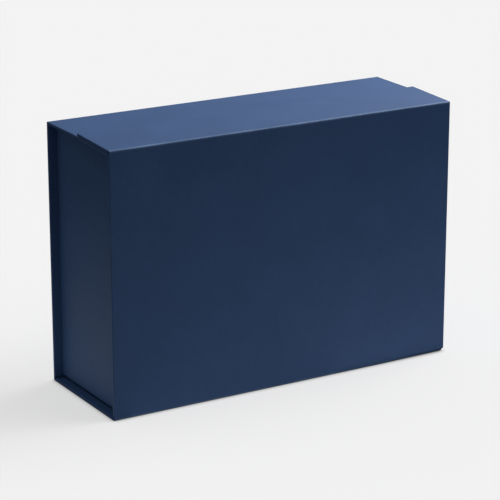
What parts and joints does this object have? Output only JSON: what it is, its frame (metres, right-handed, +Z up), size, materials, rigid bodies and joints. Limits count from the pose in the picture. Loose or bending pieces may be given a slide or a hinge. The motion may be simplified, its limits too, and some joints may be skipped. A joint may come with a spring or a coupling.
{
  "type": "archival box",
  "caption": "Rigid paper-covered storage box on its spine, with a hinged lid and a magnetic closing flap folded over the top.",
  "frame": {"origin": "middle of the spine's outer face, on the surface the closed box stands on", "axes": "+X across the width, -Y out of the lid, +Y out of the base, +Z up towards the flap"},
  "size_m": [0.33, 0.112, 0.23],
  "materials": {
    "navy_paper": "satin",
    "greyboard": "matte",
    "lining_paper": "matte",
    "magnet": "bright nickel plate",
    "keeper_steel": "zinc plate"
  },
  "bodies": {
    "case": {"base_board": "greyboard", "base_covering": "navy_paper", "base_lining": "lining_paper", "base_spine_fold": "navy_paper", "base_spine_fold_lining": "lining_paper", "base_stay_left": "navy_paper", "base_stay_right": "navy_paper", "closure_base_fold": "navy_paper", "closure_base_fold_lining": "lining_paper", "closure_stay_left": "navy_paper", "closure_stay_right": "navy_paper", "closure_wall_board": "greyboard", "closure_wall_covering": "navy_paper", "closure_wall_lining": "lining_paper", "end_wall_board_left": "greyboard", "end_wall_board_right": "greyboard", "end_wall_covering_left": "navy_paper", "end_wall_covering_right": "navy_paper", "end_wall_lining_left": "lining_paper", "end_wall_lining_right": "lining_paper", "keeper_disc_left": "keeper_steel", "keeper_disc_right": "keeper_steel", "lid_hinge_fold": "navy_paper", "lid_hinge_fold_lining": "lining_paper", "spine_board": "greyboard", "spine_covering": "navy_paper", "spine_lining": "lining_paper", "spine_stay_left": "navy_paper", "spine_stay_right": "navy_paper"},
    "lid": {"flap_hinge_fold": "navy_paper", "flap_hinge_fold_lining": "lining_paper", "lid_board": "greyboard", "lid_covering": "navy_paper", "lid_lining": "lining_paper"},
    "flap": {"flap_board": "greyboard", "flap_covering": "navy_paper", "flap_lining": "lining_paper", "flap_magnet_left": "magnet", "flap_magnet_right": "magnet"}
  },
  "joints": [
    {"name": "lid_hinge", "type": "hinge", "parent": "case", "child": "lid", "pos_m": [0, -0.05574, 0.00026], "axis": [1, 0, 0], "range_deg": [0, 90]},
    {"name": "flap_hinge", "type": "hinge", "parent": "lid", "child": "flap", "pos_m": [0, -0.05576, 0.22737], "axis": [1, 0, 0], "range_deg": [0, 87.5]}
  ]
}
